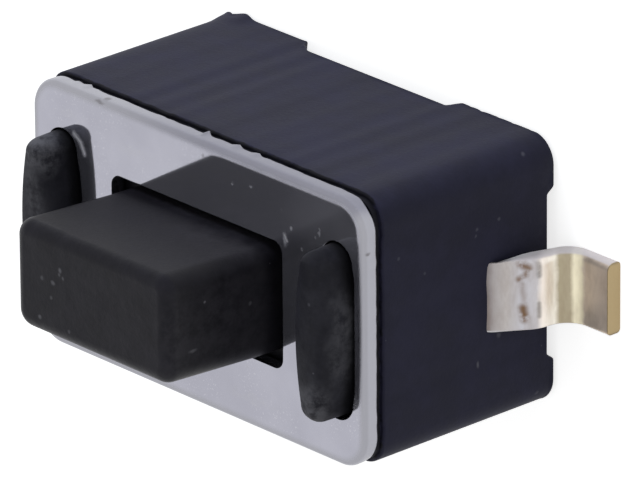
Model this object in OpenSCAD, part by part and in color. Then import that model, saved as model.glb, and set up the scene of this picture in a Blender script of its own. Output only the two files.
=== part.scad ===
// Surface-mount push-button switch: moulded housing, steel cover held by two posts,
// flanged button on a snap dome, and two gull-wing terminals moulded into the ends.
// Origin: centre of the solder plane. +Z along the button, +X along the housing.

/* [Housing] */
// Length of the moulded housing, without terminals
body_length = 6.0; // [5.8:0.1:7]
// Width of the moulded housing
body_width = 3.5; // [3.3:0.1:4.5]
// Height of the moulding from its feet to the cover plate
body_height = 2.9; // [2.5:0.1:3.6]
// Radius of the four upright corners
body_corner_r = 0.35; // [0.2:0.05:0.45]
// Height of the moulded feet above the solder plane
standoff = 0.06; // [0.02:0.02:0.14]
// Depth of the channel that crosses the underside from long side to long side
cross_channel_depth = 0.2; // [0.1:0.02:0.3]
// Length of that channel's mouth along the long sides
cross_channel_length = 2.72; // [2:0.1:3.4]
// Depth of the channel that runs from end to end under the terminals
end_channel_depth = 0.11; // [0.05:0.01:0.2]
// Width of that channel's mouth at the ends
end_channel_width = 2.18; // [1.6:0.1:2.4]
// Height of the groove between the housing's sides and the cover's edge
rim_groove_height = 0.05; // [0.02:0.01:0.1]
// Depth of that groove
rim_groove_depth = 0.04; // [0.02:0.01:0.08]

/* [Cover plate] */
// Thickness of the steel cover
plate_thickness = 0.22; // [0.15:0.01:0.3]
// Step from the housing's sides in to the cover's edge
plate_inset = 0.005; // [0.005:0.005:0.08]
// Radius of the cover's corners
plate_corner_r = 0.45; // [0.3:0.05:0.7]
// Rounding of the cover's outer edge
plate_edge_r = 0.05; // [0.02:0.01:0.08]
// Radius of the corners of the button hole
hole_corner_r = 0.15; // [0.08:0.01:0.2]

/* [Button] */
// Length of the button above the cover
button_length = 2.79; // [2.4:0.05:2.9]
// Width of the button above the cover
button_width = 1.42; // [1.3:0.02:1.6]
// Height of the button above the cover
button_rise = 1.72; // [0.5:0.1:4]
// Rounding of the button's upright edges
button_corner_r = 0.28; // [0.24:0.02:0.4]
// Rounding of the button's top edges
button_edge_r = 0.22; // [0.1:0.02:0.24]
// Gap between the button's long sides and its hole
side_gap = 0.12; // [0.06:0.01:0.2]
// Gap between the button's ends and its hole
end_gap = 0.145; // [0.06:0.005:0.2]
// Distance that the button travels
travel = 0.25; // [0.15:0.01:0.28]
// Width of the flange's rim that the cover holds in
flange_lip = 0.2; // [0.12:0.01:0.25]
// Thickness of the flange
flange_thickness = 0.45; // [0.3:0.05:0.7]
// Gap between the flange and the walls around it
flange_gap = 0.08; // [0.04:0.01:0.1]
// Gap left between the flange and the cover at rest
rest_gap = 0.02; // [0.01:0.005:0.03]
// Diameter of the boss under the flange
boss_d = 1.3; // [1:0.1:1.5]
// Length of the flange's boss
boss_length = 0.5; // [0.3:0.05:0.6]
// Diameter of the tip that presses on the dome
tip_d = 0.7; // [0.4:0.05:0.9]

/* [Posts] */
// Height of the posts' edges above the cover
post_rise = 0.4; // [0.1:0.02:0.6]
// Extra height of the posts' crown over their edges
post_crown = 0.05; // [0.02:0.01:0.08]
// Distance from the housing's end to the middle of a post
post_inset = 0.52; // [0.45:0.01:0.6]
// Width of a post at its middle
post_width = 0.594; // [0.4:0.01:0.65]
// Distance between the centres of a post's round ends
post_pitch = 1.8; // [1.2:0.02:1.9]
// Radius of a post's bowed sides
post_side_r = 4.4; // [3.5:0.1:12]
// Gap between a post and its slot in the cover
slot_gap = 0.03; // [0.01:0.005:0.05]

/* [Snap dome] */
// Thickness of the dome
dome_thickness = 0.06; // [0.04:0.01:0.08]
// Rise of the dome's underside from rim to top
dome_rise = 0.3; // [0.28:0.01:0.4]
// Gap between the dome's rim and the long walls of the cavity
dome_gap = 0.04; // [0.02:0.01:0.08]
// Gap left between the dome and the button's tip
tip_gap = 0.01; // [0.005:0.005:0.02]

/* [Terminals] */
// Distance over both terminals
lead_span = 8.16; // [8:0.1:10]
// Thickness of the terminal strip
lead_thickness = 0.21; // [0.15:0.01:0.25]
// Width of a terminal outside the housing
lead_width = 0.93; // [0.7:0.05:1.2]
// Height of the terminals' top face inside the housing
lead_top = 1.27; // [1.1:0.02:1.4]
// Distance of the first bend inside the housing's end
lead_knee = 0.113; // [0.1:0.005:0.15]
// Distance of the upright leg's middle outside the housing's end
lead_reach = 0.295; // [0.26:0.005:0.35]
// Height at which the sloping part meets the upright leg
lead_shoulder = 0.638; // [0.6:0.01:0.7]
// Inside radius of the terminals' bends
lead_bend_r = 0.18; // [0.1:0.01:0.18]
// Width of the contact strips inside the housing
contact_width = 0.5; // [0.3:0.05:0.7]
// Depth by which the centre contact's strip dips under the dome's rim
contact_dip = 0.3; // [0.25:0.01:0.35]
// Width of the outer contact's ring
ring_width = 0.2; // [0.12:0.02:0.25]
// Diameter of the raised button of the centre contact
stud_d = 0.4; // [0.3:0.05:0.45]

/* [Hidden] */
$fn = 64;

plate_z = standoff + body_height;
plate_top = plate_z + plate_thickness;
hole = [button_length, button_width] + 2 * [end_gap, side_gap];
flange = hole + 2 * [flange_lip, flange_lip];
cavity = flange + 2 * [flange_gap, flange_gap];
cavity_corner_r = hole_corner_r + flange_lip + flange_gap;
floor_z = lead_top;
dome_d = cavity[1] - 2 * dome_gap;
dome_height = dome_rise + dome_thickness;
dome_sphere_r = (pow(dome_d / 2, 2) + pow(dome_height, 2)) / (2 * dome_height);
tip_z = floor_z + dome_height + tip_gap;
flange_top = plate_z - rest_gap;
stud_height = dome_rise - travel;
post_x = body_length / 2 - post_inset;
post_end_r = post_width / 2 - pow(post_pitch / 2, 2) / (2 * post_side_r);
post_top = plate_top + post_rise + post_crown;
contact_z = lead_top - lead_thickness / 2;

// Path of the strip's middle outside the housing, seen from the side
function lead_path() = [
    [body_length / 2 - lead_knee, contact_z],
    [body_length / 2 + lead_reach, lead_shoulder],
    [body_length / 2 + lead_reach, lead_thickness / 2],
    [lead_span / 2, lead_thickness / 2]];
neck_x = body_length / 2 - 0.5;
pad_x = dome_d / 2 - 0.65;
ring_r = dome_d / 2 + 0.02;
ring_mouth = 130;

function unit(v) = v / norm(v);
function left_of(v) = [-v[1], v[0]];
function turn(a, b) = atan2(a[0] * b[1] - a[1] * b[0], a * b);
function polar(r, a) = [r * cos(a), r * sin(a)];

// Plate outline with round corners
module round_rect(size, r) {
    square([size[0] - 2 * r, size[1]], center = true);
    square([size[0], size[1] - 2 * r], center = true);
    for (x = [-1, 1], y = [-1, 1])
        translate([x * (size[0] / 2 - r), y * (size[1] / 2 - r)]) circle(r);
}

// Outline of a strip of even thickness bent along a path, seen from the side
function bend(path, i, t, r_in, out) =
    let (a = unit(path[i] - path[i - 1]), b = unit(path[i + 1] - path[i]), w = turn(a, b), s = sign(w),
         rc = r_in + t / 2, c = path[i] - a * rc * tan(abs(w) / 2) + s * rc * left_of(a),
         from = atan2(-s * left_of(a)[1], -s * left_of(a)[0]), n = ceil(abs(w) / 7.5))
    [for (k = [0:n]) c + polar(rc - s * out, from + w * k / n)];
function strip_side(path, t, r_in, out) = concat(
    [path[0] + out * left_of(unit(path[1] - path[0]))],
    [for (i = [1:len(path) - 2]) each bend(path, i, t, r_in, out)],
    [path[len(path) - 1] + out * left_of(unit(path[len(path) - 1] - path[len(path) - 2]))]);
module bent_strip(path, t, r_in) {
    upper = strip_side(path, t, r_in, t / 2);
    lower = strip_side(path, t, r_in, -t / 2);
    polygon(concat(upper, [for (i = [len(lower) - 1:-1:0]) lower[i]]));
}

// Strip swept across its width
module strip(path, width) {
    rotate([90, 0, 0]) linear_extrude(width, center = true)
        bent_strip(path, lead_thickness, lead_bend_r);
}

// Top view of a post, grown by a gap
module post_outline(grow) {
    away = post_side_r - post_width / 2;
    intersection() {
        translate([away, 0]) circle(post_side_r + grow, $fn = 240);
        translate([-away, 0]) circle(post_side_r + grow, $fn = 240);
        square([2 * post_width, post_pitch], center = true);
    }
    for (s = [-1, 1]) translate([0, s * post_pitch / 2]) circle(post_end_r + grow);
}

// Post with a crowned top
module post() {
    crown_r = (pow(post_width / 2, 2) + pow(post_crown, 2)) / (2 * post_crown);
    intersection() {
        translate([0, 0, floor_z]) linear_extrude(post_top - floor_z) post_outline(0);
        translate([0, 0, post_top - crown_r]) rotate([90, 0, 0])
            cylinder(r = crown_r, h = 2 * post_pitch, center = true, $fn = 128);
    }
}

// Block with round upright corners and rounded top edges
module rounded_block(size, height, corner_r, edge_r) {
    middle = size / 2 - [corner_r, corner_r];
    z = height - edge_r;
    linear_extrude(z) round_rect(size, corner_r);
    linear_extrude(height) round_rect(size - 2 * [edge_r, edge_r], corner_r - edge_r);
    for (s = [-1, 1]) {
        translate([0, s * (size[1] / 2 - edge_r), z]) rotate([0, 90, 0])
            cylinder(r = edge_r, h = 2 * middle[0], center = true);
        translate([s * (size[0] / 2 - edge_r), 0, z]) rotate([90, 0, 0])
            cylinder(r = edge_r, h = 2 * middle[1], center = true);
        for (u = [-1, 1]) translate([s * middle[0], u * middle[1], z]) rotate_extrude() {
            square([corner_r - edge_r, edge_r]);
            intersection() {
                translate([corner_r - edge_r, 0]) circle(edge_r);
                square(corner_r);
            }
        }
    }
}

module base_housing() color([0.09, 0.09, 0.11]) {
    difference() {
        union() {
            translate([0, 0, standoff]) linear_extrude(body_height - rim_groove_height)
                round_rect([body_length, body_width], body_corner_r);
            translate([0, 0, standoff]) linear_extrude(body_height)
                round_rect([body_length, body_width] - 2 * [rim_groove_depth, rim_groove_depth],
                           body_corner_r - rim_groove_depth);
            for (s = [-1, 1]) translate([s * post_x, 0, 0]) post();
        }
        translate([0, 0, floor_z]) linear_extrude(body_height) round_rect(cavity, cavity_corner_r);
        translate([-cross_channel_length / 2, -body_width, 0])
            cube([cross_channel_length, 2 * body_width, standoff + cross_channel_depth]);
        translate([-body_length, -end_channel_width / 2, 0])
            cube([2 * body_length, end_channel_width, standoff + end_channel_depth]);
        left_strip();
        right_strip();
    }
}

module cover_plate() color([0.72, 0.72, 0.74])
    translate([0, 0, plate_z]) difference() {
        rounded_block([body_length, body_width] - 2 * [plate_inset, plate_inset], plate_thickness,
                      plate_corner_r, plate_edge_r);
        translate([0, 0, -plate_thickness]) linear_extrude(3 * plate_thickness) {
            round_rect(hole, hole_corner_r);
            for (s = [-1, 1]) translate([s * post_x, 0]) post_outline(slot_gap);
        }
    }

module button() color([0.1, 0.1, 0.12]) {
    translate([0, 0, flange_top - flange_thickness])
        rounded_block([button_length, button_width],
                      plate_top + button_rise - flange_top + flange_thickness, button_corner_r, button_edge_r);
    translate([0, 0, flange_top - flange_thickness])
        linear_extrude(flange_thickness) round_rect(flange, hole_corner_r + flange_lip);
    translate([0, 0, flange_top - flange_thickness - boss_length])
        cylinder(d = boss_d, h = boss_length + 0.1);
    translate([0, 0, tip_z]) cylinder(d = tip_d, h = flange_top - flange_thickness - tip_z);
}

module snap_dome() color([0.75, 0.73, 0.68])
    translate([0, 0, floor_z]) rotate_extrude() intersection() {
        translate([0, dome_height - dome_sphere_r]) difference() {
            circle(dome_sphere_r, $fn = 240);
            circle(dome_sphere_r - dome_thickness, $fn = 240);
        }
        square([dome_d, dome_d]);
    }

// Outer contact: a C-shaped ring under the dome's rim
module left_strip() {
    mirror([1, 0, 0]) {
        strip(concat([[neck_x, contact_z]], lead_path()), lead_width);
        translate([0, 0, lead_top - lead_thickness]) linear_extrude(lead_thickness) {
            translate([ring_r - ring_width / 2, -contact_width / 2])
                square([neck_x + 0.15 - ring_r + ring_width / 2, contact_width]);
            difference() {
                circle(ring_r);
                circle(ring_r - ring_width);
                polygon([[0, 0], polar(4 * ring_r, 180 - ring_mouth / 2), polar(4 * ring_r, 180 + ring_mouth / 2)]);
            }
        }
    }
}

// Centre contact: a strip that dips under the dome's rim and ends in a pad with a stud
module right_strip() {
    strip(concat([[neck_x, contact_z]], lead_path()), lead_width);
    strip([[-0.35, contact_z], [pad_x, contact_z], [pad_x + contact_dip, contact_z - contact_dip],
           [neck_x - contact_dip, contact_z - contact_dip], [neck_x, contact_z],
           [neck_x + 0.15, contact_z]], contact_width);
    translate([0, 0, contact_z]) cylinder(d = stud_d, h = lead_thickness / 2 + stud_height);
}

module left_terminal() color([0.78, 0.75, 0.68]) left_strip();

module right_terminal() color([0.78, 0.75, 0.68]) right_strip();

base_housing();
cover_plate();
button();
snap_dome();
left_terminal();
right_terminal();
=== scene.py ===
import bmesh
import bpy
import numpy as np
from mathutils import Matrix, Vector, geometry


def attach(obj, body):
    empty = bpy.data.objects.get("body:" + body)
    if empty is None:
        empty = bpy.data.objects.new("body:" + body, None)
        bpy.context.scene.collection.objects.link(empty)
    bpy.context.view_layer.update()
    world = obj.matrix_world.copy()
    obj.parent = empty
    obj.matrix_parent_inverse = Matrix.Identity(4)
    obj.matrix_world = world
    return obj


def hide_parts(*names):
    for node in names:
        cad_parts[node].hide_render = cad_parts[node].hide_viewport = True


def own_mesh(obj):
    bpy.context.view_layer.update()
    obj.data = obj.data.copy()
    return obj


mm = 0.001  # sizes and places are in millimetres throughout
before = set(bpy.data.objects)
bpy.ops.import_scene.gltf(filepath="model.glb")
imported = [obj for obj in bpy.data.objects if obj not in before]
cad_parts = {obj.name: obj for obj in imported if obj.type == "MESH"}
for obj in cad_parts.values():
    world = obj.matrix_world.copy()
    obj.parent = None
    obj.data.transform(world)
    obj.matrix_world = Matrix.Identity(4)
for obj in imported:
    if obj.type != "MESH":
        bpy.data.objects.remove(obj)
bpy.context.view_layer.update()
print("frame loaded:", ", ".join(sorted(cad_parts)))


# points on a circle: centre plus radius times the cosine and sine of evenly spaced angles, in degrees
def arc(centre, radius, start, end, count):
    angle = np.radians(np.linspace(start, end, count))
    return np.asarray(centre) + radius * np.column_stack([np.cos(angle), np.sin(angle)])


# rounded rectangle, anticlockwise, as core points and outward directions: any outline of the family
# is core + radius * direction; each straight side ends in a short step, so that it shades flat
def cornered(size, radius, cornerSteps, sideSteps):
    half = np.asarray(size) / 2 - radius
    signs = np.array([(1, 1), (-1, 1), (-1, -1), (1, -1)])
    core, away = [], []
    for quarter, sign in enumerate(signs):
        following = signs[(quarter + 1) % 4]
        turn = arc((0, 0), 1, 90 * quarter, 90 * quarter + 90, cornerSteps + 1)
        between = np.linspace(0, 1, sideSteps[quarter % 2] + 1)[1:-1]
        share = np.concatenate([[0.01], between, [0.99]])[:, None]
        core += [np.tile(half * sign, (len(turn), 1)), half * (sign + (following - sign) * share)]
        away += [turn, np.tile(turn[-1], (len(share), 1))]
    return np.concatenate(core), np.concatenate(away)


# ring: a flat outline lifted to a height, which may differ from point to point
def ring(outline, height):
    return np.column_stack([outline, np.broadcast_to(height, len(outline))])


# quarter round between two faces: sideways radius times (1 - cosine), upwards radius times sine, for
# angles from 0 to 90 degrees with smaller steps near both ends
def quarterRound(radius, steps):
    angle = np.pi / 4 * (1 - np.cos(np.linspace(0, np.pi, steps + 1)))
    return radius * (1 - np.cos(angle)), radius * np.sin(angle)


# share of the way round a closed outline at each of its points: the lengths of the steps, added up
def wayRound(outline):
    steps = np.linalg.norm(np.diff(outline, axis=0, append=outline[:1]), axis=1)
    return (np.cumsum(steps) - steps) / steps.sum()


# smooth noise round a closed outline, from -1 to 1: random heights at even places, joined by smooth
# steps; share is the way round of each point
def ringNoise(share, bumps, seed):
    heights = np.random.default_rng(seed).uniform(-1, 1, bumps)
    whole = (share * bumps).astype(int)
    rest = share * bumps - whole
    rest = rest * rest * (3 - 2 * rest)
    return heights[whole % bumps] * (1 - rest) + heights[(whole + 1) % bumps] * rest


# round humps on a surface: for each (x, y, width, height), height times exp(-(distance / width) squared)
def humps(x, y, places):
    return sum(height * np.exp(-((x - atX) ** 2 + (y - atY) ** 2) / width ** 2)
               for atX, atY, width, height in places)


# loft: rings as the rows of a grid, closed around its columns; the ends may be closed by a flat face
def loft(rings, closeStart=True, closeEnd=True):
    rings = np.asarray(rings, float)
    index = np.arange(rings.shape[0] * rings.shape[1]).reshape(rings.shape[:2])
    beside = np.roll(index, -1, 1)
    faces = np.stack([index[:-1], beside[:-1], beside[1:], index[1:]], -1).reshape(-1, 4).tolist()
    if closeStart:
        faces.append(index[0, ::-1].tolist())
    if closeEnd:
        faces.append(index[-1].tolist())
    return rings.reshape(-1, 3), faces


# sheet that faces down: a grid of points with one quad for each cell
def underSheet(points):
    index = np.arange(points.shape[0] * points.shape[1]).reshape(points.shape[:2])
    quads = np.stack([index[:-1, :-1], index[:-1, 1:], index[1:, 1:], index[1:, :-1]], -1)
    return points.reshape(-1, 3), quads.reshape(-1, 4).tolist()


# mirror image through the plane x = 0, with its faces turned round so that they still point outwards
def mirrored(part):
    points, faces = part
    return points * [-1, 1, 1], [face[::-1] for face in faces]


# the same part a fixed step away
def moved(part, offset):
    return part[0] + np.asarray(offset, float), part[1]


# one mesh from several closed parts, in metres, smooth except across edges over the given angle
def buildPiece(name, parts, body, paint, replaced, sharpAngle=38):
    points = np.concatenate([part[0] for part in parts]) * mm
    faces, start = [], 0
    for part in parts:
        faces += [[corner + start for corner in face] for face in part[1]]
        start += len(part[0])
    mesh = bpy.data.meshes.new(name)
    mesh.from_pydata(points.tolist(), [], faces)
    mesh.polygons.foreach_set("use_smooth", [len(face) == 4 for face in faces])
    work = bmesh.new()
    work.from_mesh(mesh)
    bmesh.ops.remove_doubles(work, verts=work.verts, dist=2e-5 * mm)
    bmesh.ops.dissolve_degenerate(work, dist=1e-6 * mm, edges=work.edges)
    work.to_mesh(mesh)
    work.free()
    mesh.set_sharp_from_angle(angle=np.radians(sharpAngle))
    mesh.materials.append(paint)
    piece = bpy.data.objects.new(name, mesh)
    bpy.context.scene.collection.objects.link(piece)
    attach(piece, body)
    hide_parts(replaced)
    print(f"{name}: {len(mesh.polygons)} faces")
    return piece


# one output socket; arithmetic on it adds Math nodes
class Wire:
    def __init__(self, nodes, socket):
        self.nodes, self.socket = nodes, socket

    def math(self, operation, *values):
        return self.nodes.add("ShaderNodeMath", {"operation": operation}, dict(enumerate(values)))

    def __add__(self, other):
        return self.math("ADD", self, other)

    def __sub__(self, other):
        return self.math("SUBTRACT", self, other)

    def __rsub__(self, other):
        return self.math("SUBTRACT", other, self)

    def __mul__(self, other):
        return self.math("MULTIPLY", self, other)

    __radd__ = __add__
    __rmul__ = __mul__

    def most(self, other):
        return self.math("MAXIMUM", self, other)

    def least(self, other):
        return self.math("MINIMUM", self, other)

    def size(self):
        return self.math("ABSOLUTE", self)


# node tree of a material or a world
class Nodes:
    def __init__(self, owner):
        owner.use_nodes = True
        self.owner, self.tree = owner, owner.node_tree
        self.tree.nodes.clear()

    # any node: its type, its settings (a ramp's stops among them), then the values or links of its
    # sockets; out names the output to hand back, or several
    def add(self, kind, settings=None, sockets=None, out=0):
        node = self.tree.nodes.new(kind)
        for key, value in (settings or {}).items():
            if key == "stops":
                stops = node.color_ramp.elements
                while len(stops) < len(value):
                    stops.new(1.0)
                for stop, (place, colour) in zip(stops, value):
                    stop.position, stop.color = place, (*colour, 1.0)
            else:
                setattr(node, key, value)
        for key, value in (sockets or {}).items():
            if isinstance(value, Wire):
                self.tree.links.new(value.socket, node.inputs[key])
            else:
                node.inputs[key].default_value = value
        if isinstance(out, tuple):
            return [Wire(self, node.outputs[key]) for key in out]
        return Wire(self, node.outputs[out])

    def vector(self, operation, *values, out=0):
        return self.add("ShaderNodeVectorMath", {"operation": operation}, dict(enumerate(values)), out)

    # smooth step: 0 below low, 1 above high; the other way round where low is the greater
    def step(self, value, low, high):
        sockets = {"Value": value, "From Min": min(low, high), "From Max": max(low, high),
                   "To Min": float(low > high), "To Max": float(low < high)}
        settings = {"interpolation_type": "SMOOTHSTEP", "clamp": True}
        return self.add("ShaderNodeMapRange", settings, sockets)

    # first colour where the share is 0, second where it is 1
    def mix(self, share, first, second):
        first, second = ((*colour, 1.0) if isinstance(colour, tuple) else colour
                         for colour in (first, second))
        return self.add("ShaderNodeMix", {"data_type": "RGBA"}, {0: share, 6: first, 7: second}, out=2)


# material whose patterns follow the piece: place is the object coordinates in millimetres
class Paint(Nodes):
    def __init__(self, name):
        super().__init__(bpy.data.materials.new(name))
        coordinates = self.add("ShaderNodeTexCoord", out="Object")
        self.place = self.vector("MULTIPLY", coordinates, (1 / mm,) * 3)
        self.x, self.y, self.z = self.add("ShaderNodeSeparateXYZ", {}, {0: self.place}, (0, 1, 2))

    # noise from 0 to 1 with its scale in features per millimetre, one number or one for each axis
    def noise(self, scale, detail=2.0, rough=0.5, shift=0.0):
        scales = scale if isinstance(scale, tuple) else (scale,) * 3
        place = self.vector("MULTIPLY", self.place, scales)
        place = self.vector("ADD", place, (shift, shift * 0.7, -shift * 0.4))
        sockets = {"Vector": place, "Scale": 1.0, "Detail": detail, "Roughness": rough}
        return self.add("ShaderNodeTexNoise", {}, sockets)

    # place pushed about by noise, so that the edges of spots and bands come out ragged
    def ragged(self, reach, scale):
        sockets = {"Vector": self.place, "Scale": scale, "Detail": 2.0}
        push = self.vector("SUBTRACT", self.add("ShaderNodeTexNoise", {}, sockets, out=1), (0.5,) * 3)
        return self.vector("ADD", self.place, self.vector("MULTIPLY", push, (reach,) * 3))

    # soft spots: for each (place, radius, strength) a smooth step down with the distance from the place
    # over the radius, which may differ from axis to axis
    def spots(self, places, reach=0.04, scale=9.0):
        around = self.ragged(reach, scale)
        total = 0.0
        for place, radius, strength in places:
            radii = radius if isinstance(radius, tuple) else (radius,) * 3
            apart = self.vector("DIVIDE", self.vector("SUBTRACT", around, place), radii)
            spot = self.step(self.vector("LENGTH", apart, out="Value"), 1.1, 0.2) * strength
            total = spot.most(total)
        return total

    # fine lines: for each (start, end, width, strength) a smooth step down with the distance from the
    # straight line between the two places
    def scratches(self, lines):
        around = self.ragged(0.05, 5.0)
        total = 0.0
        for start, end, width, strength in lines:
            start, run = np.array(start), np.array(end) - start
            offset = self.vector("SUBTRACT", around, start.tolist())
            along = self.vector("DOT_PRODUCT", offset, (run / (run @ run)).tolist(), out="Value")
            along = along.most(0.0).least(1.0)
            nearest = {axis: along * float(run[axis]) for axis in range(3)}
            nearest = self.add("ShaderNodeCombineXYZ", {}, nearest)
            apart = self.vector("DISTANCE", offset, nearest, out="Value")
            total = (self.step(apart, width, 0.0) * strength).most(total)
        return total

    # scattered specks: cells whose random colour passes the share, as small discs about their centres
    def specks(self, scale, share, radius):
        sockets = {"Vector": self.place, "Scale": scale}
        outputs = ("Distance", "Color")
        near, colour = self.add("ShaderNodeTexVoronoi", {"feature": "F1"}, sockets, outputs)
        pick, grow = self.add("ShaderNodeSeparateColor", {}, {0: colour}, (0, 1))
        size = radius * scale
        edge = (grow * 0.7 + 0.3) * size + (self.noise(30, 2, 0.6, 5.0) - 0.5) * (size * 0.9)
        return self.step(edge - near, 0.0, size * 0.6) * self.step(pick, 1 - share, 1.001 - share)

    # bump from a height in millimetres
    def bump(self, height):
        return self.add("ShaderNodeBump", {}, {"Height": height * mm, "Distance": 1.0, "Strength": 1.0})

    # the surface shader and the output
    def finish(self, sockets):
        body = self.add("ShaderNodeBsdfPrincipled", {}, sockets)
        self.add("ShaderNodeOutputMaterial", {}, {"Surface": body}, out=())
        return self.owner


# black moulded plastic: cloudy colour, fine grain and pale dust; above rubbedFrom it is greyer and
# patchy; painted shade is a dark band under the edge of the sheet and at the foot of the posts, ragged
# at its lower edge, that fades out upwards; pale patches lie over it, which on the button are painted
# light
def mouldedPlastic(name, look):
    paint = Paint(name)
    cloud = paint.step(paint.noise(look["cloudScale"], 4, 0.65), 0.32, 0.68)
    grain = paint.noise(24, 3, 0.65, 3.0)
    dust = paint.specks(look["dustScale"], look["dustShare"], look["dustRadius"])
    dust = dust.most(paint.spots(look["dustSpots"]))
    base = paint.mix(cloud, look["dark"], look["light"])
    rubbed = paint.step(paint.z, look["rubbedFrom"], look["rubbedFrom"] + 0.05)
    patch = paint.step(paint.noise(2.2, 4, 0.7, 7.0), 0.35, 0.7)
    base = paint.mix(rubbed, base, paint.mix(patch, look["rubbedDark"], look["rubbedLight"]))
    # painted shade: a dark band under the edge of the sheet and round the foot of the posts
    if "paintedShade" in look:
        bottom, fadeStart, fadeEnd = look["paintedShade"]
        wander = (paint.noise(9, 3, 0.7, 2.0) - 0.5) * look["paintedShadeWander"]
        ragged = paint.z + wander + paint.step(paint.y, 1.6, 1.72) * look["paintedShadeLift"]
        paintedShade = paint.step(ragged, bottom, bottom + 0.02) * paint.step(paint.z, fadeEnd, fadeStart)
        base = paint.mix(paintedShade * look["paintedShadeStrength"], base, look["paintedShadeColour"])
    # pale patches; on the button these are painted light
    palePatchAndPaintedLight = paint.spots(look["palePatchesAndPaintedLight"], 0.3, 2.5) * paint.step(paint.noise(5, 4, 0.7, 9.0), 0.3, 0.65)
    base = paint.mix(palePatchAndPaintedLight, base, look["palePatchesAndPaintedLightColour"])
    base = paint.mix(dust * look["dustStrength"], base, look["dustColour"])
    rough = look["rough"] + (grain - 0.5) * 0.12 + (cloud - 0.5) * 0.06
    wave = paint.noise(5, 2, 0.5, 1.0) * (rubbed * look["rubbedDepth"] + look["waveDepth"])
    return paint.finish({"Base Color": base, "Roughness": rough, "Specular IOR Level": look["gloss"],
                         "Normal": paint.bump(grain * look["grainDepth"] + wave)})


housing = {
    "length": 6.0, "width": 3.5, "foot": 0.06, "top": 2.96, "cornerRadius": 0.35, "bottomRound": 0.03,
    "grooveHeight": 0.08, "grooveDepth": 0.06, "ledgeRound": 0.03,  # groove under the edge of the sheet
    "crossMouth": 1.36, "crossDepth": 0.2, "endMouth": 1.09, "endDepth": 0.11,  # channels, half as wide
    "mouthBlend": 0.11, "spacing": 0.05,
    "edgeWobble": 0.012, "wallBumps": (90, 3), "ledgeBumps": (160, 5),  # number of bumps and seed
    "cavity": (3.64, 2.22), "cavityRadius": 0.43, "floor": 1.262,
    # nicks in the underside: x, y, width and height
    "nicks": [(-2.7, 1.75, 0.06, 0.07), (-2.53, 1.75, 0.1, -0.04), (1.55, 1.75, 0.03, 0.03),
              (1.75, 1.75, 0.05, 0.03), (2.05, 1.75, 0.03, 0.02), (2.3, 1.75, 0.04, 0.02),
              (2.62, 1.75, 0.03, 0.03), (2.5, -1.75, 0.08, -0.02), (-1.3, 1.75, 0.07, -0.1)],
    # flash on the low walls: x, y, width and reach
    "flash": [(-2.53, 1.75, 0.12, 0.035), (-2.85, 1.7, 0.12, 0.04), (2.55, -1.75, 0.08, 0.03)],
    "flashHeight": 0.34,
    "dark": (0.014, 0.014, 0.029), "light": (0.0225, 0.0225, 0.045), "rough": 0.6, "gloss": 0.13,
    "cloudScale": 1.5, "grainDepth": 0.003, "waveDepth": 0.003, "rubbedFrom": 3.1, "rubbedDepth": 0.012,
    "rubbedDark": (0.012, 0.012, 0.017), "rubbedLight": (0.026, 0.026, 0.034),
    # painted shade: a dark band from the first height up, fading out between the other two
    "paintedShade": (2.88, 3.2, 3.36), "paintedShadeStrength": 0.85, "paintedShadeColour": (0.004, 0.004, 0.005),
    "paintedShadeWander": 0.08, "paintedShadeLift": 0.03,  # raggedness, and how much wider it is on the +Y wall
    # place, radius and strength, as for all spots below; the pale patches lie on the posts and low on
    # the +X wall
    "palePatchesAndPaintedLight": [((2.75, 0, 3.35), (0.14, 0.9, 0.25), 0.6), ((2.48, -0.95, 3.6), (0.4, 0.5, 0.3), 1.0),
                ((-2.45, 1.0, 3.55), (0.5, 0.45, 0.4), 1.0), ((-2.5, 0.3, 3.6), (0.25, 0.8, 0.3), 0.5),
                ((3.0, 0.6, 0.12), (0.3, 1.7, 0.25), 0.12)],
    "palePatchesAndPaintedLightColour": (0.115, 0.115, 0.13),
    "dustScale": 2.6, "dustShare": 0.35, "dustRadius": 0.022, "dustStrength": 0.4,
    "dustColour": (0.26, 0.26, 0.30),
    "dustSpots": [((3.0, -0.84, 1.33), (0.05, 0.06, 0.03), 0.9),
                  ((3.0, 0.924, 1.347), (0.05, 0.03, 0.03), 0.5),
                  ((2.904, 1.64, 0.496), 0.04, 0.6), ((3.0, 0.963, 0.985), 0.03, 0.5),
                  ((3.0, 0.915, 2.624), 0.03, 0.4), ((3.0, 0.599, 2.2), 0.03, 0.4),
                  ((2.98, -1.513, 0.333), 0.04, 0.4), ((3.0, -0.55, 0.986), (0.05, 0.05, 0.05), 0.6),
                  ((3.0, 0.851, 1.364), 0.025, 0.5), ((2.507, 0.463, 3.63), 0.03, 0.5),
                  ((-2.457, 0.077, 3.63), 0.04, 0.4)],
}
housingPaint = mouldedPlastic("blackHousing", housing)


# half a row of grid lines and its mirror image, with the middle line once
def mirrorLines(half):
    return np.concatenate([-half[:0:-1], half])


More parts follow.
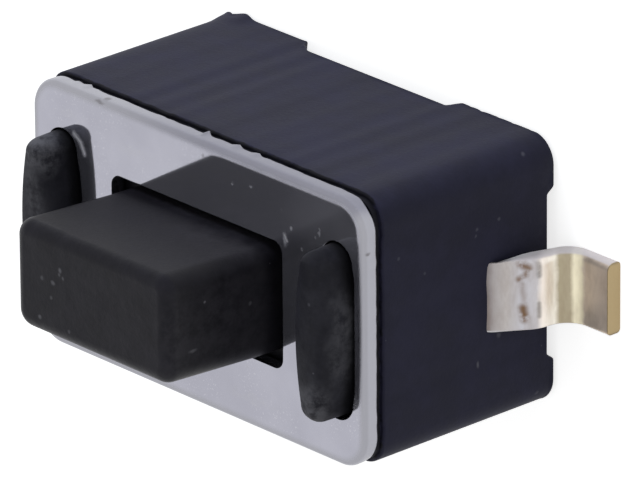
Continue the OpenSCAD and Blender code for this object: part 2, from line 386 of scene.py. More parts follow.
# housing: a grid for the underside, whose height is the foot plus the deeper of two channels with
# blended sides plus the nicks; then rings up the walls, where the flash stands out by its reach times
# (1 - (height / flashHeight) squared) squared, in over the groove and down into the cavity
def housingParts(h):
    corner = np.array([h["length"], h["width"]]) / 2 - h["cornerRadius"]
    inner = h["cornerRadius"] - h["bottomRound"]
    blend = h["mouthBlend"] * np.linspace(-0.5, 0.5, 7)
    turn = np.radians(np.linspace(0, 90, 13))
    even = np.arange(0, corner[0], h["spacing"])
    straight = np.unique(np.concatenate([even, h["crossMouth"] + blend]))
    x = mirrorLines(np.concatenate([straight, corner[0] + inner * np.sin(turn)]))
    reach = np.concatenate([np.full(len(straight), corner[1] + inner), corner[1] + inner * np.cos(turn)])
    reach = np.abs(mirrorLines(reach))
    limit = h["endMouth"] + h["mouthBlend"]
    beside = np.arange(0, limit, h["spacing"])
    beyond = np.linspace(limit, corner[1] + inner, 12)
    side = mirrorLines(np.unique(np.concatenate([beside, h["endMouth"] + blend, beyond])))
    # lines past the end channel's mouth draw together where the corner is round
    squeeze = (reach - limit) / (corner[1] + inner - limit)
    off = np.abs(side)[None, :]
    y = np.sign(side)[None, :] * np.where(off > limit, limit + (off - limit) * squeeze[:, None], off)
    x = np.broadcast_to(x[:, None], y.shape)

    # share of a channel's depth: a smooth step across the side of its mouth
    def rise(value, mouth):
        share = np.clip((mouth - np.abs(value)) / h["mouthBlend"] + 0.5, 0, 1)
        return share * share * (3 - 2 * share)

    channels = np.maximum(rise(x, h["crossMouth"]) * h["crossDepth"],
                          rise(y, h["endMouth"]) * h["endDepth"])
    under = np.stack([x, y, h["foot"] + channels + humps(x, y, h["nicks"])], -1)
    border = np.concatenate([under[:, 0], under[-1, 1:], under[-2::-1, -1], under[0, -2:0:-1]])
    core = np.clip(border[:, :2], -corner, corner)
    away = border[:, :2] - core
    away /= np.linalg.norm(away, axis=1, keepdims=True)
    share = wayRound(border[:, :2])
    wobble = h["edgeWobble"] * 0.5 * (ringNoise(share, *h["wallBumps"])[:, None] - 1)
    outer = core + away * (h["cornerRadius"] + wobble)
    low = border[:, 2] + h["bottomRound"]
    flash = away * humps(border[:, 0], border[:, 1], h["flash"])[:, None]
    aside, up = quarterRound(h["bottomRound"], 4)
    levels = [ring(core + away * (inner + lift) + flash * (lift / h["bottomRound"]),
                   low - h["bottomRound"] + back) for back, lift in zip(aside, up)]
    ledge = h["top"] - h["grooveHeight"] + h["edgeWobble"] * ringNoise(share, *h["ledgeBumps"])
    shoulder = ledge - h["ledgeRound"]
    for part in np.linspace(0, 1, 25)[1:] ** 1.5:
        fade = max(0.0, 1 - (part * (h["top"] - h["foot"]) / h["flashHeight"]) ** 2) ** 2
        levels.append(ring(outer + flash * fade, low + (shoulder - low) * part))
    aside, up = quarterRound(h["ledgeRound"], 4)
    levels += [ring(outer - away * back, shoulder + lift) for back, lift in zip(aside[1:], up[1:])]
    seat = core + away * (h["cornerRadius"] - h["grooveDepth"])
    pocket = core * (np.array(h["cavity"]) / 2 - h["cavityRadius"]) / corner + away * h["cavityRadius"]
    levels += [ring(seat, ledge), ring(seat, h["top"]), ring(pocket, h["top"]), ring(pocket, h["floor"])]
    return [underSheet(under), loft(levels, closeStart=False)]


posts = {
    "away": 2.48, "width": 0.594, "pitch": 1.8, "sideRadius": 4.4, "foot": 2.9, "edge": 3.58,
    "crown": 0.05, "draft": 0.02,
    "sideRound": 0.05, "rightRound": 0.2, "endRound": 0.13,  # edge at the sides, at +X, at the ends
}


# top view of a post, anticlockwise: round ends joined by bowed sides, where half the width at y is half
# the width less the side radius plus the root of (side radius squared less y squared)
def postOutline(p, gap=0.0):
    reach = p["pitch"] / 2

    def bow(y):
        return p["width"] / 2 - p["sideRadius"] + np.sqrt(p["sideRadius"] ** 2 - y ** 2) + gap

    y = np.linspace(-reach, reach, 33)[1:-1]
    return np.concatenate([arc((0, reach), bow(reach), 0, 180, 33), np.column_stack([-bow(y), y])[::-1],
                           arc((0, -reach), bow(reach), 180, 360, 33), np.column_stack([bow(y), y])])


# post: its outline shrinks towards its spine; the height is the edge plus the crown times (1 - scale
# squared), less a quarter round, which is rounder at the two ends and towards +X
def postPart(p):
    outline = postOutline(p)
    along = np.clip(outline[:, 1], -p["pitch"] / 2, p["pitch"] / 2)
    spine = np.column_stack([np.zeros(len(outline)), along])
    offset = outline - spine
    half = np.linalg.norm(offset, axis=1)
    atEnd = np.abs(offset[:, 1] / half) ** 2
    edge = p["sideRound"] + (p["endRound"] - p["sideRound"]) * atEnd
    edge += (p["rightRound"] - p["sideRound"]) * np.maximum(offset[:, 0] / half, 0) ** 2
    aside, up = quarterRound(1.0, 8)
    inset = np.concatenate([-(p["draft"] * atEnd)[None], aside[:, None] * edge,
                            edge + (half * 0.97 - edge) * np.linspace(0, 1, 8)[1:, None]])
    keep = 1 - inset / half
    sunk = np.concatenate([np.zeros((1, len(half))), (1 - up[:, None]) * edge, np.zeros((7, len(half)))])
    height = p["edge"] + p["crown"] * (1 - np.minimum(keep, 1) ** 2) - sunk
    height[0] = p["foot"]
    return loft([ring(spine + offset * k[:, None], z) for k, z in zip(keep, height)])


housingPieces = housingParts(housing)
housingPieces += [moved(postPart(posts), (side * posts["away"], 0, 0)) for side in (-1, 1)]
buildPiece("moulded_housing", housingPieces, "housing", housingPaint, "base_housing")

cover = {
    "size": (5.99, 3.49), "cornerRadius": 0.45, "bottom": 2.96, "top": 3.18,
    "hole": (3.08, 1.66), "holeRadius": 0.15,
    "holeRound": 0.005, "holeMargin": 0.015, "holeDrop": 0.0015,  # upper edge of the hole and the slots
    "slotGap": 0.065, "slotShare": 0.985, "slotShifts": ((0.04, 0.0), (0.03, 0.0)),  # left, right
    "margin": 0.15, "marginDrop": 0.022, "endMargin": 0.03, "edgeRound": 0.05, "bottomRound": 0.04,
    "edgeWobble": 0.005, "edgeBumps": (170, 11),  # number of bumps and seed
    # burrs on the lower edge: x, y, width and reach
    "burrs": [(0.01, 1.75, 0.03, 0.05), (0.55, 1.75, 0.06, 0.03), (0.9, 1.75, 0.05, 0.025),
              (-2.15, 1.75, 0.04, 0.03), (-2.32, 1.75, 0.03, 0.03)],
    "burrHeight": 0.12, "burrDrop": 0.8,
    "dark": (0.42, 0.42, 0.485), "light": (0.47, 0.47, 0.54), "metal": 0.92, "rough": 0.06,
    # margin colours: darker than the middle, partly as painted shade; marginDark is painted shade along
    # +Y, between the y and x below
    "marginDark": (0.26, 0.26, 0.31), "marginLight": (0.375, 0.375, 0.415), "marginRough": 0.28,
    "marginShadeAcross": (0.8, 1.4), "marginShadeAlong": (-2.2, 0.5),  # y and x between which the margin darkens
    "grainDepth": 0.00006, "sparkle": 0.5, "sparkleColour": (0.58, 0.58, 0.64),
    "stains": [((-1.75, 1.70, 3.18), (0.12, 0.03, 0.1), 0.5),
               ((0.14, 1.55, 3.18), (0.04, 0.04, 0.1), 0.35),
               ((-1.67, 1.74, 3.1), (0.06, 0.06, 0.06), 0.6),
               ((3.0, 1.12, 3.12), (0.05, 0.03, 0.05), 0.6)],
    "stainColour": (0.10, 0.09, 0.09),
    # haze spots; the last is a painted highlight on the round of the far corner
    "hazeAndHighlight": [((2.81, -0.87, 3.18), (0.10, 0.2, 0.1), 0.6), ((2.77, -0.66, 3.18), (0.02, 0.05, 0.1), 0.5),
             ((-2.3, 1.36, 3.18), (0.35, 0.06, 0.1), 0.3), ((-1.1, 1.23, 3.18), (0.5, 0.07, 0.1), 0.3),
             ((1.0, -1.37, 3.18), (0.6, 0.08, 0.1), 0.3), ((2.84, 1.67, 3.16), (0.06, 0.05, 0.06), 1.0)],
    "dust": [((1.6, 0.9, 3.18), (0.05, 0.12, 0.1), 0.4), ((1.705, 1.07, 3.18), (0.035, 0.05, 0.1), 0.4),
             ((2.2, 1.16, 3.18), 0.04, 0.35), ((2.13, 1.1, 3.18), 0.035, 0.25),
             ((2.27, 1.0, 3.18), 0.04, 0.25), ((0.98, 1.4, 3.18), 0.035, 0.3),
             ((1.9, 0.86, 3.18), 0.04, 0.25), ((0.66, 1.36, 3.18), 0.03, 0.2),
             ((1.55, 1.28, 3.18), 0.03, 0.15), ((2.4, 1.3, 3.18), (1.0, 0.6, 0.1), 0.09)],
    # start, end, width and strength, as for all lines below
    "scratches": [((1.57, 0.98, 3.18), (1.64, 0.88, 3.18), 0.03, 0.35),
                  ((2.2, 1.22, 3.18), (2.22, 1.2, 3.18), 0.018, 0.35),
                  ((0.65, 1.34, 3.18), (0.67, 1.33, 3.18), 0.016, 0.35),
                  # painted highlight: the bright rim of the left post's slot, drawn as the next two
                  # lines
                  ((-2.22, 1.15, 3.18), (-2.1, 1.07, 3.18), 0.07, 0.5),
                  ((-2.1, 1.07, 3.18), (-2.03, 0.93, 3.18), 0.07, 0.5)],
    "hazeAndHighlightColour": (0.74, 0.74, 0.78),
}


# bright rolled steel, clear in the middle with patches of fine sparkle; the distance in from the outline
# is the corner radius less the length of the part beyond the core, less how far a place lies inside the
# core, and it marks off a mottled, rougher margin, whose darker colour is partly painted shade, with
# more painted shade along +Y
def coverSteel(name, c):
    paint = Paint(name)
    core = [side / 2 - c["cornerRadius"] for side in c["size"]]
    beyond = paint.vector("SUBTRACT", paint.vector("ABSOLUTE", paint.place), (*core, 9.0))
    past = paint.vector("LENGTH", paint.vector("MAXIMUM", beyond, (0, 0, 0)), out="Value")
    overX, overY = paint.add("ShaderNodeSeparateXYZ", {}, {0: beyond}, out=(0, 1))
    fromEdge = c["cornerRadius"] - past - overX.most(overY).least(0.0)
    mottle = paint.noise(7, 4, 0.7, 5.0)
    margin = paint.step(fromEdge + (mottle - 0.5) * 0.03, c["margin"], c["margin"] * 0.3)
    margin = margin * paint.step(overX.most(overY), -0.3, 0.0)
    patch = paint.noise(0.9, 3, 0.6, 4.0)
    base = paint.mix(paint.step(patch, 0.3, 0.7), c["dark"], c["light"])
    sparkle = paint.step(paint.noise(34, 2, 0.6, 2.0), 0.6, 0.68)
    # pale haze, specks and dust, with a painted highlight among the haze spots
    hazeAndHighlight = paint.spots(c["hazeAndHighlight"], 0.25, 7.0) * (sparkle * 0.7 + 0.3)
    hazeAndHighlight = hazeAndHighlight.most(paint.specks(3.2, 0.4, 0.03) * 0.16).most(paint.spots(c["dust"], 0.1, 14.0))
    # painted shade: the margin darker along +Y
    dull = paint.step(overY - overX, -0.15, 0.1) * paint.step(paint.y, *c["marginShadeAcross"])
    dull = dull * paint.step(paint.x, *c["marginShadeAlong"])
    dull = (dull + (mottle - 0.5) * 0.3).most(0.0).least(1.0)
    base = paint.mix(margin, base, paint.mix(dull, c["marginLight"], c["marginDark"]))
    glitter = sparkle * paint.step(paint.noise(1.3, 2, 0.5, 8.0), 0.4, 0.6) * (1 - margin)
    base = paint.mix(glitter * c["sparkle"], base, c["sparkleColour"])
    base = paint.mix(hazeAndHighlight, base, c["hazeAndHighlightColour"])
    base = paint.mix(paint.spots(c["stains"], 0.05, 14.0), base, c["stainColour"])
    # scratches, and a painted highlight on the rim of the left slot
    lines = paint.scratches(c["scratches"])
    base = paint.mix(lines, base, c["hazeAndHighlightColour"])
    rough = c["rough"] + margin * c["marginRough"] + hazeAndHighlight * 0.4 + lines * 0.5
    height = paint.noise(38, 2, 0.6) * (c["grainDepth"] + margin * (c["grainDepth"] * 2))
    bare = 1 - hazeAndHighlight.most(lines)
    return paint.finish({"Base Color": base, "Metallic": c["metal"] * bare, "Roughness": rough,
                         "Normal": paint.bump(height)})


# wall of the sheet round one outline: a quarter round below; above, the height is the top less the drop
# times ((margin - inset) / margin) cubed, less a quarter round at the very edge, with insets of margin
# times (1 - cosine); burrs push the lower edge out and down
def coverWall(c, outline, away, margin, drop, edgeRound, burrs):
    aside, up = quarterRound(c["bottomRound"], 4)
    insets, heights = list(c["bottomRound"] - up), list(c["bottom"] + aside)
    inset = margin * (1 - np.cos(np.linspace(0, np.pi / 2, 16)))[:, None]
    corner = edgeRound - np.sqrt(np.maximum(edgeRound ** 2 - np.maximum(edgeRound - inset, 0) ** 2, 0))
    insets += list(inset)
    heights += list(c["top"] - drop * ((margin - inset) / margin) ** 3 - corner)
    rings = []
    for back, height in zip(insets, heights):
        pull = np.clip((c["bottom"] + c["burrHeight"] - height) / c["burrHeight"], 0, 1) * burrs
        rings.append(ring(outline - away * (back - pull)[:, None], height - pull * c["burrDrop"]))
    return rings


# direction out of an anticlockwise outline: the chord between a point's neighbours, turned clockwise
def outward(outline):
    chord = np.roll(outline, -1, 0) - np.roll(outline, 1, 0)
    normal = np.column_stack([chord[:, 1], -chord[:, 0]])
    return normal / np.linalg.norm(normal, axis=1, keepdims=True)


# sheet: walls round the outline, the button's hole and the two slots, closed below and above by
# triangles between their lowest and their highest rings; a triangle that faces the wrong way is turned
# round, and one without area is left out
def coverParts(c, p):
    core, away = cornered(c["size"], c["cornerRadius"], 18, (100, 52))
    outline = core + away * c["cornerRadius"]
    wobble = c["edgeWobble"] * (ringNoise(wayRound(outline), *c["edgeBumps"]) - 0.6)
    burrs = wobble + humps(outline[:, 0], outline[:, 1], c["burrs"])
    margin = c["margin"] + c["endMargin"] * np.maximum(away[:, 0], 0) ** 2
    walls = [coverWall(c, outline, away, margin, c["marginDrop"], c["edgeRound"], burrs)]
    holeCore, holeAway = cornered(c["hole"], c["holeRadius"], 10, (20, 12))
    holes = [(holeCore + holeAway * c["holeRadius"], holeAway)]
    slot = postOutline(p, c["slotGap"]) * [1, c["slotShare"]]
    holes += [(slot + [side * p["away"] + shift[0], shift[1]], outward(slot))
              for side, shift in zip((-1, 1), c["slotShifts"])]
    for edge, direction in holes:
        still = np.zeros(len(edge))
        walls.append(coverWall(c, edge, -direction, still + c["holeMargin"], c["holeDrop"],
                               c["holeRound"], still))
    parts = []
    for i, rings in enumerate(walls):
        points, faces = loft(rings, False, False)
        parts.append((points, [face[::-1] for face in faces] if i else faces))
    for level, sign in ((0, -1), (-1, 1)):
        loops = [rings[level] for rings in walls]
        flat = np.concatenate(loops)
        outlines = [[Vector(point) for point in loop] for loop in loops]
        triangles = np.array(geometry.tessellate_polygon(outlines))
        edgeA = flat[triangles[:, 1]] - flat[triangles[:, 0]]
        edgeB = flat[triangles[:, 2]] - flat[triangles[:, 0]]
        facing = np.sign(edgeA[:, 0] * edgeB[:, 1] - edgeA[:, 1] * edgeB[:, 0])
        triangles = np.where((facing * sign > 0)[:, None], triangles, triangles[:, ::-1])
        parts.append((flat, triangles[facing != 0].tolist()))
    return parts


buildPiece("cover_sheet", coverParts(cover, posts), "housing",
           coverSteel("coverSteel", cover), "cover_plate")

button = {
    "size": (2.79, 1.42), "cornerRadius": 0.23, "edgeRound": 0.19, "top": 4.9,
    "lean": 0.055, "leanFrom": 3.18,  # slope towards +Y above this height
    "flange": (3.48, 2.06), "flangeRadius": 0.35, "flangeTop": 2.94, "flangeBottom": 2.49,
    "bossRadius": 0.65, "bossBottom": 1.99, "tipRadius": 0.35, "tipBottom": 1.64,
    "dark": (0.006, 0.0055, 0.008), "light": (0.010, 0.0095, 0.0135), "rough": 0.46, "gloss": 0.16,
    "cloudScale": 1.1, "grainDepth": 0.003, "waveDepth": 0.003, "rubbedFrom": 4.72, "rubbedDepth": 0.004,
    "rubbedDark": (0.0052, 0.005, 0.0088), "rubbedLight": (0.0098, 0.0094, 0.0148),
    # painted light: pale patches lighten the button in the gap under the sheet, on its +Y face near the
    # sheet and on its +X face
    "palePatchesAndPaintedLight": [((0.0, 0.8, 3.0), (1.8, 0.35, 0.3), 0.5), ((1.395, 0.0, 4.8), (0.25, 0.9, 0.5), 0.35),
                ((0.8, 0.76, 3.45), (1.2, 0.3, 0.5), 0.2), ((1.4, 0.0, 4.0), (0.2, 1.1, 1.2), 0.27)],
    "palePatchesAndPaintedLightColour": (0.06, 0.057, 0.068),
    "dustScale": 2.8, "dustShare": 0.4, "dustRadius": 0.024, "dustStrength": 0.42,
    "dustColour": (0.26, 0.26, 0.29),
    "dustSpots": [((-0.922, -0.379, 4.9), 0.04, 0.8), ((-0.538, 0.341, 4.9), (0.04, 0.05, 0.05), 0.9),
                  ((-0.67, 0.143, 4.9), (0.05, 0.04, 0.05), 0.8), ((-0.557, 0.282, 4.9), 0.03, 0.6),
                  ((-0.485, 0.252, 4.9), 0.03, 0.6), ((-0.871, 0.147, 4.9), 0.035, 0.5),
                  ((-0.712, -0.065, 4.9), 0.035, 0.5), ((-0.392, -0.412, 4.9), 0.035, 0.5),
                  ((0.076, -0.515, 4.9), 0.035, 0.5), ((0.008, 0.71, 4.477), 0.045, 0.8),
                  ((0.398, 0.71, 4.518), 0.04, 0.6), ((1.121, 0.71, 4.427), 0.035, 0.5),
                  ((1.26, 0.669, 4.007), 0.04, 0.5), ((1.395, -0.225, 4.5), (0.05, 0.03, 0.09), 0.7),
                  ((1.395, 0.13, 3.573), 0.035, 0.5)],
}


# button: rings from the tip up through the boss and the flange, then the shaft with a quarter round on
# top; above leanFrom every point moves to +Y by the lean times its height over it
def buttonParts(b):
    shaftCore, shaftAway = cornered(b["size"], b["cornerRadius"], 12, (8, 5))
    flangeCore, flangeAway = cornered(b["flange"], b["flangeRadius"], 12, (8, 5))
    shaft = shaftCore + shaftAway * b["cornerRadius"]
    flange = flangeCore + flangeAway * b["flangeRadius"]
    turn = np.arctan2(flange[:, 1] / b["flange"][1], flange[:, 0] / b["flange"][0])
    disc = np.column_stack([np.cos(turn), np.sin(turn)])
    levels = [ring(disc * b["tipRadius"] * 0.9, b["tipBottom"]),
              ring(disc * b["tipRadius"], b["tipBottom"] + 0.04),
              ring(disc * b["tipRadius"], b["bossBottom"]),
              ring(disc * b["bossRadius"], b["bossBottom"]),
              ring(disc * b["bossRadius"], b["flangeBottom"]),
              ring(flange, b["flangeBottom"]),
              ring(flange, b["flangeTop"]), ring(shaft, b["flangeTop"])]
    aside, up = quarterRound(b["edgeRound"], 12)
    shoulder = b["top"] - b["edgeRound"]
    levels += [ring(shaft, z) for z in np.linspace(b["flangeTop"], shoulder, 5)[1:-1]]
    levels += [ring(shaft - shaftAway * back, shoulder + lift) for back, lift in zip(aside, up)]
    points, faces = loft(levels)
    points[:, 1] += b["lean"] * np.maximum(points[:, 2] - b["leanFrom"], 0)
    return [(points, faces)]


buildPiece("push_button", buttonParts(button), "button",
           mouldedPlastic("blackButton", button), "button")

terminal = {
    "thickness": 0.21, "width": 0.93, "span": 8.16, "top": 1.27, "neck": 2.5,
    "edgeRounds": (0.1, 0.055, 0.055, 0.055),  # the four edges of the strip, +Y upper edge first
    "knee": 0.113, "reach": 0.295, "shoulder": 0.638, "bends": (0.18, 0.18, 0.32),  # upper path
    "inner": ((3.04, 1.06), (3.08, 0.62), (3.28, 0.0)), "innerBends": (0.02, 0.6, 0.32),  # lower path
    "rootNotch": 0.03, "notchReach": 0.14, "notchBlend": 0.17,  # the strip is narrower next to the wall
    "contactWidth": 0.5, "contactBend": 0.18, "dip": 0.3,
    "ringRadius": 1.09, "ringWidth": 0.2, "ringMouth": 130,  # the mouth is in degrees
    "padX": 0.42, "studRadius": 0.2, "studTop": 1.32,
    # distance along the strip and its tint, partly plating tone and partly painted light: painted shade
    # at the root, and painted highlights in the cream bands on the upright leg and where it bends into
    # the foot; the ramp runs over the tinted range
    "tinted": (1.7, 4.0),
    "tintsAndPaintedLight": [(1.75, (0.12, 0.10, 0.10)), (1.92, (0.42, 0.39, 0.39)), (2.15, (0.58, 0.55, 0.54)),
              (2.4, (0.60, 0.59, 0.63)), (2.66, (0.62, 0.60, 0.62)), (2.76, (0.96, 0.88, 0.80)),
              (2.95, (0.94, 0.89, 0.78)), (3.03, (0.46, 0.40, 0.28)), (3.22, (0.48, 0.42, 0.30)),
              (3.3, (0.98, 0.91, 0.69)), (3.42, (0.94, 0.86, 0.64)), (3.47, (0.76, 0.65, 0.54)),
              (3.9, (0.84, 0.71, 0.60))],
    # the sheared sides' tint; a painted highlight makes them palest at the root; the bare brass of the
    # cut ends
    "sideTint": (0.80, 0.74, 0.75), "rootHighlight": (0.98, 0.97, 0.98), "endTint": (0.46, 0.35, 0.19),
    "rough": 0.45, "metal": 0.82, "grainDepth": 0.0012,
    "stains": [((3.25, 0.43, 0.87), (3.31, 0.37, 0.79), 0.09, 0.9),
               ((3.31, 0.36, 0.79), (3.285, 0.27, 0.82), 0.07, 0.8),
               ((3.285, 0.27, 0.82), (3.24, 0.22, 0.88), 0.07, 0.85),
               ((3.262, 0.2, 0.85), (3.285, -0.15, 0.82), 0.08, 0.4),
               ((3.27, -0.16, 0.84), (3.285, -0.3, 0.82), 0.1, 1.0)],
    "marks": [((3.37, 0.42, 0.68), (3.375, 0.25, 0.67), 0.06, 0.6),
              ((3.37, -0.12, 0.675), (3.375, -0.27, 0.67), 0.05, 0.6)],
    "stainColour": (0.20, 0.12, 0.07), "markColour": (0.13, 0.12, 0.11),
}


# plated strip: the tint follows the distance along the strip, measured as outward place less height, and
# holds painted shade at the root and painted highlights; brown stains, dark marks, sheared sides, which
# are palest at the root as a painted highlight, and bare brass ends lie over it
def platedStrip(name, t):
    paint = Paint(name)
    wander = (paint.noise(3.5, 3, 0.6, 2.0) - 0.5) * 0.12
    out = paint.x.size()
    low, high = t["tinted"]
    sockets = {"Value": out - paint.z + wander, "From Min": low, "From Max": high}
    along = paint.add("ShaderNodeMapRange", {}, sockets)
    stops = [((place - low) / (high - low), tint) for place, tint in t["tintsAndPaintedLight"]]
    base = paint.add("ShaderNodeValToRGB", {"stops": stops}, {0: along})
    smear = paint.step(paint.noise((6, 2, 6), 3, 0.65, 6.0), 0.35, 0.75) * 0.25
    base = paint.mix(smear, base, t["stainColour"])
    blotch = paint.step(paint.noise(8, 3, 0.6, 4.0), 0.2, 0.55)
    base = paint.mix(paint.scratches(t["stains"]) * blotch, base, t["stainColour"])
    base = paint.mix(paint.scratches(t["marks"]) * blotch, base, t["markColour"])
    side = paint.step(paint.y.size(), t["width"] / 2 - 0.03, t["width"] / 2 - 0.01)
    base = paint.mix(side * 0.8, base, t["sideTint"])
    # painted highlight: the sides palest at the root
    base = paint.mix(side * paint.step(out, 3.25, 3.05), base, t["rootHighlight"])
    base = paint.mix(paint.step(out, t["span"] / 2 - 0.02, t["span"] / 2 - 0.005), base, t["endTint"])
    grain = paint.noise(26, 3, 0.6)
    rough = t["rough"] + (grain - 0.5) * 0.15
    height = grain * t["grainDepth"] + paint.noise(5, 2, 0.5, 3.0) * 0.008
    return paint.finish({"Base Color": base, "Metallic": t["metal"] * (1 - side * 0.9),
                         "Roughness": rough, "Normal": paint.bump(height)})


# vector of length 1
def unit(vector):
    return vector / np.linalg.norm(vector)


# flat vector turned by a quarter, anticlockwise
def leftOf(vector):
    return np.array([-vector[1], vector[0]])


# path of straight runs joined by arcs, with its normals: each corner is cut back by its radius times the
# tangent of half the turn
def bentPath(corners, radii, steps=14):
    corners = np.asarray(corners, float)
    points, normals = [corners[:1]], [[leftOf(unit(corners[1] - corners[0]))]]
    for before, here, after, radius in zip(corners, corners[1:], corners[2:], radii):
        a, b = unit(here - before), unit(after - here)
        turn = np.arctan2(a[0] * b[1] - a[1] * b[0], a @ b)
        middle = here - a * radius * np.tan(abs(turn) / 2) + np.sign(turn) * radius * leftOf(a)
        angle = turn * np.linspace(0, 1, steps + 1)[:, None]
        normal = np.cos(angle) * leftOf(a) - np.sin(angle) * a
        points.append(middle - np.sign(turn) * radius * normal)
        normals.append(normal)
    points.append(corners[-1:])
    normals.append([leftOf(unit(corners[-1] - corners[-2]))])
    return np.concatenate(points), np.concatenate(normals)


# strip between an upper and a lower path in the plane y = 0: each point is upper + share * (lower -
# upper), where the share and the distance across come from a flat section with rounded edges; narrow is
# taken off the +Y side
def stripBetween(upper, lower, width, t, narrow=0.0):
    half = np.array([width, t["thickness"]]) / 2
    edges = zip(((1, 1), (-1, 1), (-1, -1), (1, -1)), (0, 90, 180, 270), t["edgeRounds"])
    section = np.concatenate([arc((half - r) * sign, r, turn, turn + 90, 8) for sign, turn, r in edges])
    share = 0.5 - section[:, 1] / t["thickness"]
    rings = upper[:, None, :] + (lower - upper)[:, None, :] * share[None, :, None]
    across = section[:, 0] - np.reshape(narrow, (-1, 1)) * (section[:, 0] > 0)
    across = np.broadcast_to(across, rings.shape[:2])[..., None]
    return loft(np.concatenate([rings[..., :1], across, rings[..., 1:]], -1))


# strip of even thickness along a path: half of it to each side
def stripPart(corners, width, t, bends):
    points, normals = bentPath(corners, np.array(bends) + t["thickness"] / 2)
    half = normals * t["thickness"] / 2
    return stripBetween(points + half, points - half, width, t)


# strip outside the housing: the upper path leaves the wall, goes down a slope and an upright leg and out
# along the solder foot; the lower path keeps close to the wall first
def leadPart(t):
    middle, end = t["top"] - t["thickness"] / 2, housing["length"] / 2
    corners = [(t["neck"], middle), (end - t["knee"], middle), (end + t["reach"], t["shoulder"]),
               (end + t["reach"], t["thickness"] / 2), (t["span"] / 2, t["thickness"] / 2)]
    points, normals = bentPath(corners, np.array(t["bends"]) + t["thickness"] / 2)
    low = [(t["neck"], t["top"] - t["thickness"]), *t["inner"], (t["span"] / 2, 0)]
    lower = bentPath(low, t["innerBends"])[0]
    narrow = t["rootNotch"] * np.clip((end + t["notchReach"] - points[:, 0]) / t["notchBlend"], 0, 1)
    return stripBetween(points + normals * t["thickness"] / 2, lower, t["width"], t, narrow)


# left terminal: lead, arm and an open ring under the rim of the dome, all mirrored
def leftParts(t):
    low, high, mouth = t["top"] - t["thickness"], t["top"], t["ringMouth"] / 2
    inside = t["ringRadius"] - t["ringWidth"]
    hoop = np.concatenate([arc((0, 0), t["ringRadius"], 180 + mouth, 540 - mouth, 61),
                           arc((0, 0), inside, 540 - mouth, 180 + mouth, 61)])
    middle = high - t["thickness"] / 2
    start = (t["ringRadius"] - t["ringWidth"] / 2, middle)
    arm = stripPart([start, (t["neck"] + 0.1, middle)], t["contactWidth"], t, ())
    return [mirrored(part) for part in (leadPart(t), arm, loft([ring(hoop, low), ring(hoop, high)]))]


# right terminal: lead, a strip that dips under the rim of the dome, and a stud under its middle
def rightParts(t):
    middle = t["top"] - t["thickness"] / 2
    low = middle - t["dip"]
    dipped = stripPart([(-0.35, middle), (t["padX"], middle), (t["padX"] + t["dip"], low),
                        (t["neck"] - t["dip"], low), (t["neck"], middle), (t["neck"] + 0.15, middle)],
                       t["contactWidth"], t, (t["contactBend"],) * 4)
    circle = arc((0, 0), t["studRadius"], 0, 360, 49)[:-1]
    stud = loft([ring(circle, middle), ring(circle, t["studTop"] - 0.02),
                 ring(circle * 0.9, t["studTop"])])
    return [leadPart(t), dipped, stud]


terminalPaint = platedStrip("platedStrip", terminal)
buildPiece("left_lead", leftParts(terminal), "housing", terminalPaint,
           "left_terminal")
buildPiece("right_lead", rightParts(terminal), "housing", terminalPaint,
           "right_terminal")

dome = {
    "radius": 1.07, "rise": 0.3, "thickness": 0.06, "floor": 1.27, "pressed": 0.33,
    "dark": (0.5, 0.5, 0.48), "light": (0.6, 0.6, 0.58), "rough": 0.2, "grainDepth": 0.0004,
}


# bright spring steel, slightly cloudy
def domeSteel(name, d):
    paint = Paint(name)
    base = paint.mix(paint.step(paint.noise(1.5, 3, 0.6), 0.3, 0.7), d["dark"], d["light"])
    grain = paint.noise(30, 2, 0.6, 1.0)
    rough = d["rough"] + (grain - 0.5) * 0.06
    return paint.finish({"Base Color": base, "Metallic": 1.0, "Roughness": rough,
                         "Normal": paint.bump(grain * d["grainDepth"])})


# dome: the cap of a sphere turned round the axis, up its outside and back down its inside; the sphere's
# radius is (rim radius squared + height squared) / (2 * height)
def domePart(d):
    height = d["rise"] + d["thickness"]
    sphere = (d["radius"] ** 2 + height ** 2) / (2 * height)
    rings = []
    for radius, order in ((sphere, 1), (sphere - d["thickness"], -1)):
        limit = np.degrees(np.arccos((sphere - height) / radius))
        for tilt in np.linspace(limit, 0.6, 14)[::order]:
            across = radius * np.sin(np.radians(tilt))
            up = radius * np.cos(np.radians(tilt)) - (sphere - height)
            rings.append(ring(arc((0, 0), across, 0, 360, 73)[:-1], d["floor"] + up))
    return loft(rings + rings[:1], False, False)


domePiece = buildPiece("spring_dome", [domePart(dome)], "housing",
                       domeSteel("domeSteel", dome), "snap_dome")
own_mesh(domePiece)

stage = {
    "floorSize": 3.0, "floorWhite": 0.8, "glow": 0.75, "ambient": 0.46,  # the floor's size is in metres
    "lamp": {"place": (-30, 140, 30), "size": 90, "power": 0.118, "colour": (0.82, 0.89, 1.0)},
}


# 1 where a camera, mirror or glass ray that has not met a dull surface lands, 0 elsewhere
def seenDirectly(nodes):
    rays = ("Is Camera Ray", "Is Glossy Ray", "Is Transmission Ray", "Diffuse Depth")
    camera, glossy, through, dull = nodes.add("ShaderNodeLightPath", out=rays)
    return camera.most(glossy).most(through) * (1 - dull.least(1.0))


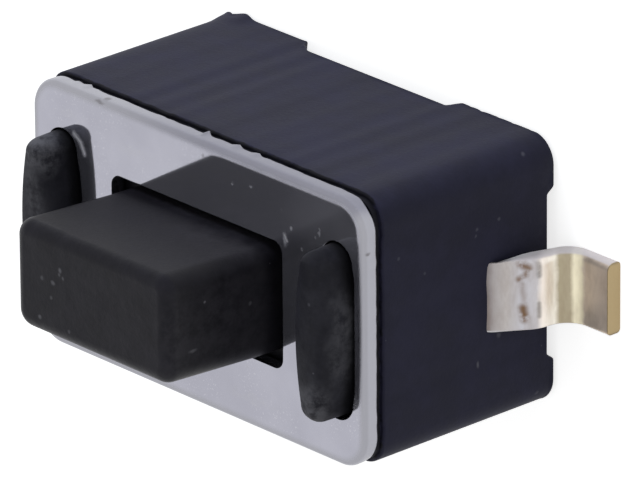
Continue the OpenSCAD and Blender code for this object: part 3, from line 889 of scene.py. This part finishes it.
bpy.ops.mesh.primitive_plane_add(size=stage["floorSize"])
floor = bpy.context.object
floor.name = "floor"
floorPaint = Paint("paleFloor")
floorShine = floorPaint.mix(seenDirectly(floorPaint), (0.0, 0.0, 0.0), (1.0, 1.0, 1.0))
floor.data.materials.append(floorPaint.finish({
    "Base Color": (stage["floorWhite"],) * 3 + (1,), "Roughness": 1.0, "Specular IOR Level": 0.0,
    "Emission Color": floorShine, "Emission Strength": stage["glow"]}))

sky = Nodes(bpy.data.worlds.new("studio"))
bpy.context.scene.world = sky.owner
brightness = seenDirectly(sky) * (1 - stage["ambient"]) + stage["ambient"]
backdrop = sky.add("ShaderNodeBackground", {}, {"Color": (1, 1, 1, 1), "Strength": brightness})
sky.add("ShaderNodeOutputWorld", {}, {"Surface": backdrop}, out=())

lamp = stage["lamp"]
lampData = bpy.data.lights.new("windowLamp", "AREA")
lampData.shape, lampData.size, lampData.energy = "SQUARE", lamp["size"] * mm, lamp["power"]
lampData.color = lamp["colour"]
lampObject = bpy.data.objects.new("windowLamp", lampData)
bpy.context.scene.collection.objects.link(lampObject)
lampObject.location = Vector(lamp["place"]) * mm
lampObject.rotation_euler = lampObject.location.to_track_quat("Z", "Y").to_euler()
lampObject.visible_camera = False
lampObject.visible_glossy = False

view = {
    "aim": (2.2173, 1.0835, 3.18), "distance": 126.1343, "lens": 595.497,
    "azimuth": 29.4372, "elevation": 38.4678, "roll": -109.7823,
}
azimuth, elevation, roll = np.radians([view["azimuth"], view["elevation"], view["roll"]])
level = np.cos(elevation)
back = Vector((level * np.cos(azimuth), level * np.sin(azimuth), np.sin(elevation)))
cameraData = bpy.data.cameras.new("camera")
cameraData.lens, cameraData.sensor_width = view["lens"], 36.0
cameraData.clip_start, cameraData.clip_end = 0.005, 10.0
camera = bpy.data.objects.new("camera", cameraData)
bpy.context.scene.collection.objects.link(camera)
spot = Matrix.Translation((Vector(view["aim"]) + back * view["distance"]) * mm)
turned = back.to_track_quat("Z", "Y").to_matrix().to_4x4()
camera.matrix_world = spot @ turned @ Matrix.Rotation(roll, 4, "Z")
bpy.context.scene.camera = camera
bpy.context.scene.view_settings.view_transform = "Standard"
print("stage set")
